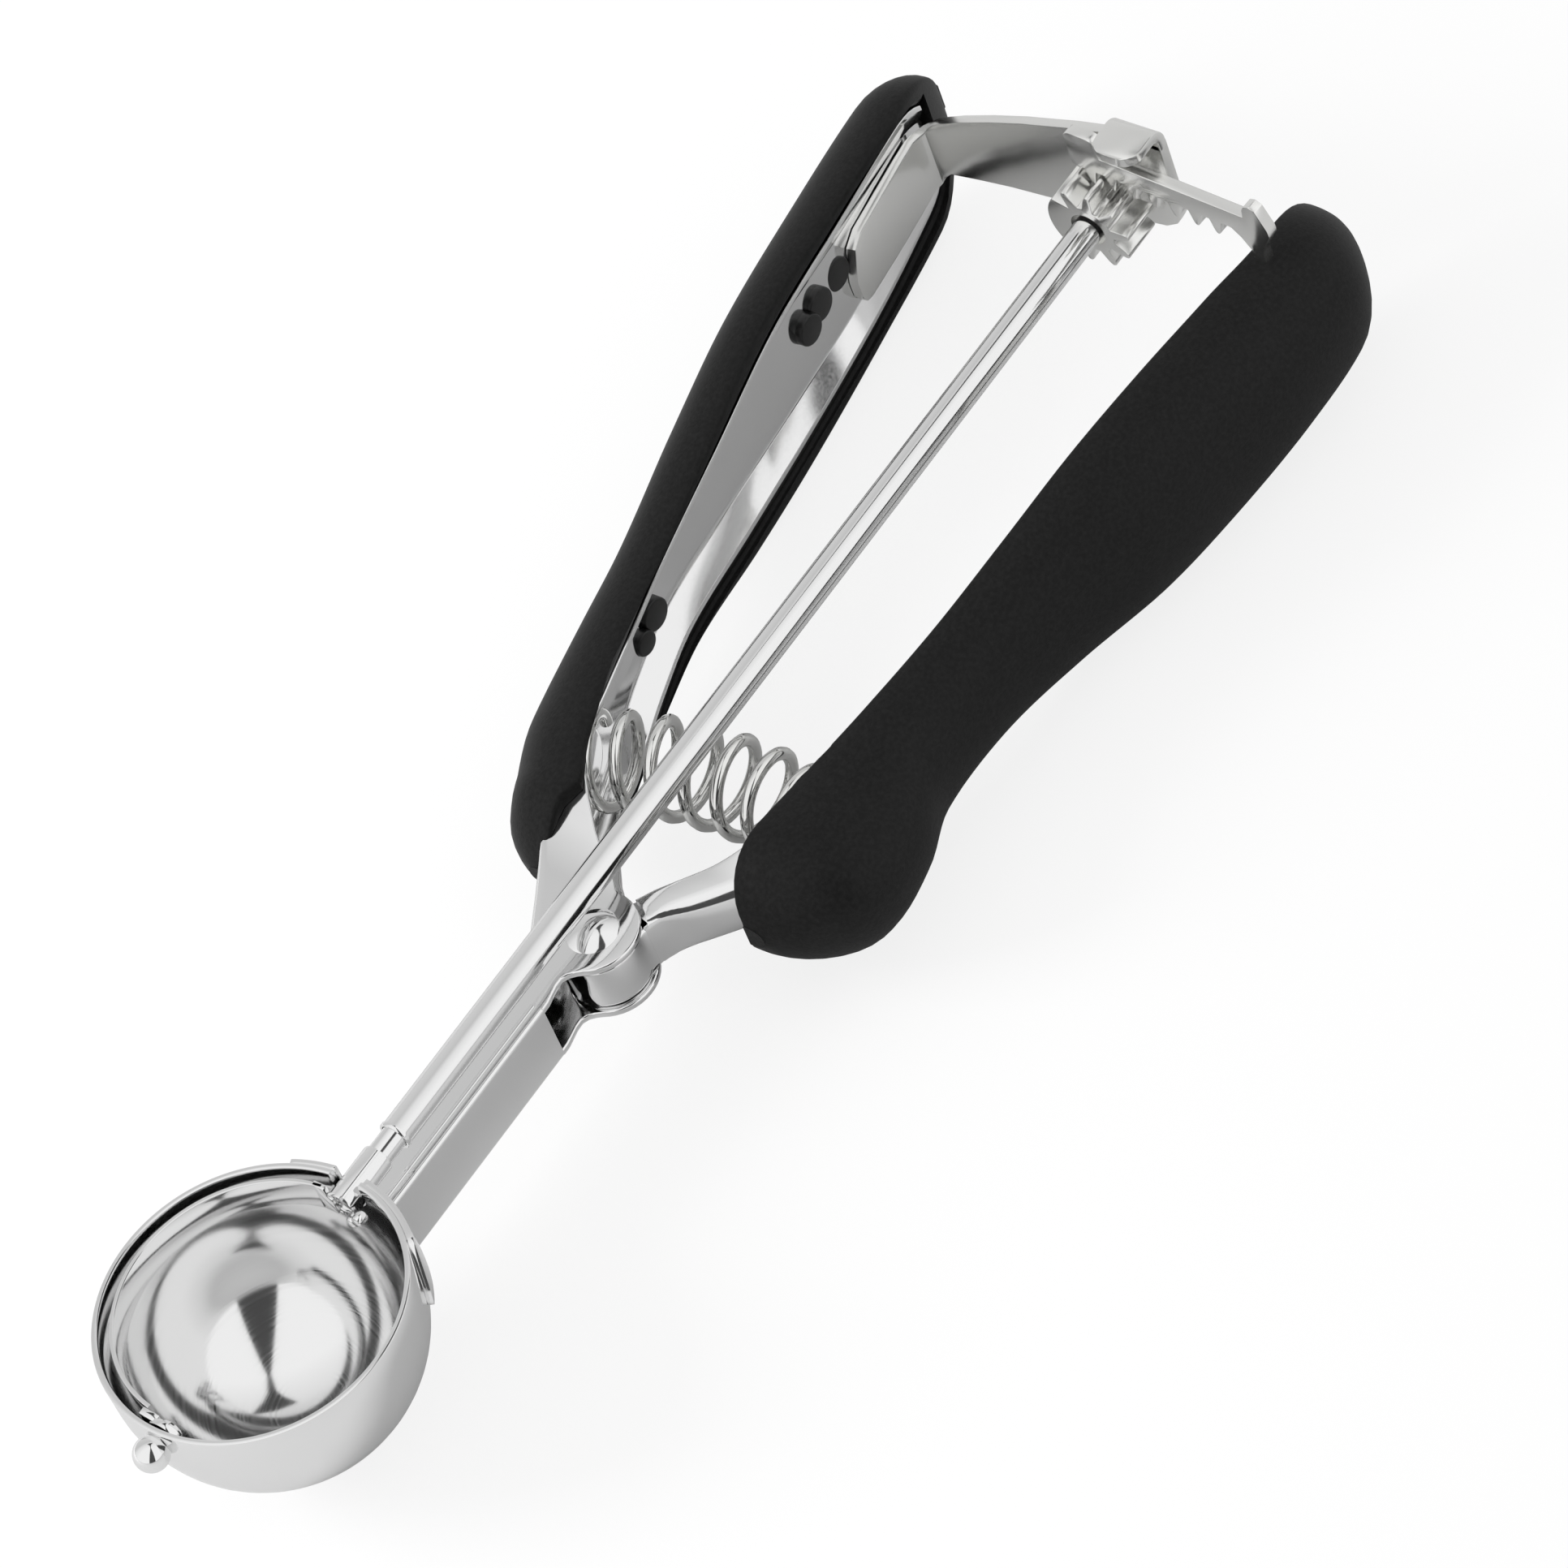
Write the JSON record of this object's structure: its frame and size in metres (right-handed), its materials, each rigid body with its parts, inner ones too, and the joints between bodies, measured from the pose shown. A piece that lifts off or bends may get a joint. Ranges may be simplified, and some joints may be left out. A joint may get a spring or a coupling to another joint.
{
  "type": "lever ice cream scoop",
  "caption": "Hand scoop for ice cream: squeezing the sprung lever turns a scraper inside the bowl through a rack and pinion.",
  "frame": {"origin": "below the middle of the scoop's bounding box, at the level of its lowest point", "axes": "+X from the bowl towards the handles, along the wiper rod; +Z out of the bowl's mouth; +Y towards the fixed handle"},
  "size_m": [0.2362, 0.0849, 0.0397],
  "materials": {
    "polished_steel": "mirror polished stainless steel",
    "gear_steel": "satin",
    "spring_steel": "bright wire",
    "liner_plastic": "black",
    "soft_grip": "matte soft touch, black"
  },
  "bodies": {
    "frame": {"frame": "polished_steel", "bowl": "polished_steel", "ball_pin": "polished_steel", "gear_arm": "gear_steel", "pivot_rivet": "polished_steel", "pivot_bush": "gear_steel", "fixed_grip_liner": "liner_plastic", "fixed_grip_cover": "soft_grip", "spring": "spring_steel"},
    "lever": {"lever": "polished_steel", "rack_arm": "gear_steel", "lever_grip_liner": "liner_plastic", "lever_grip_cover": "soft_grip"},
    "wiper": {"scraper": "polished_steel", "core_rod": "polished_steel", "wiper_tube": "polished_steel", "pinion": "gear_steel"}
  },
  "joints": [
    {"name": "lever_hinge", "type": "hinge", "parent": "frame", "child": "lever", "pos_m": [-0.02477, -0.00625, 0.0145], "axis": [0, 0, 1], "range_deg": [0, 6.2], "stiffness_Nm_per_rad": 2.2, "springref_deg": -10.31, "deforming": ["spring"]},
    {"name": "wiper_spin", "type": "hinge", "parent": "frame", "child": "wiper", "pos_m": [-0.09348, -0.00475, 0.02455], "axis": [1, 0, 0], "range_deg": [-140, 0]}
  ],
  "couplings": [
    {"joint": "wiper_spin", "follows": "lever_hinge", "ratio": -22.51}
  ]
}
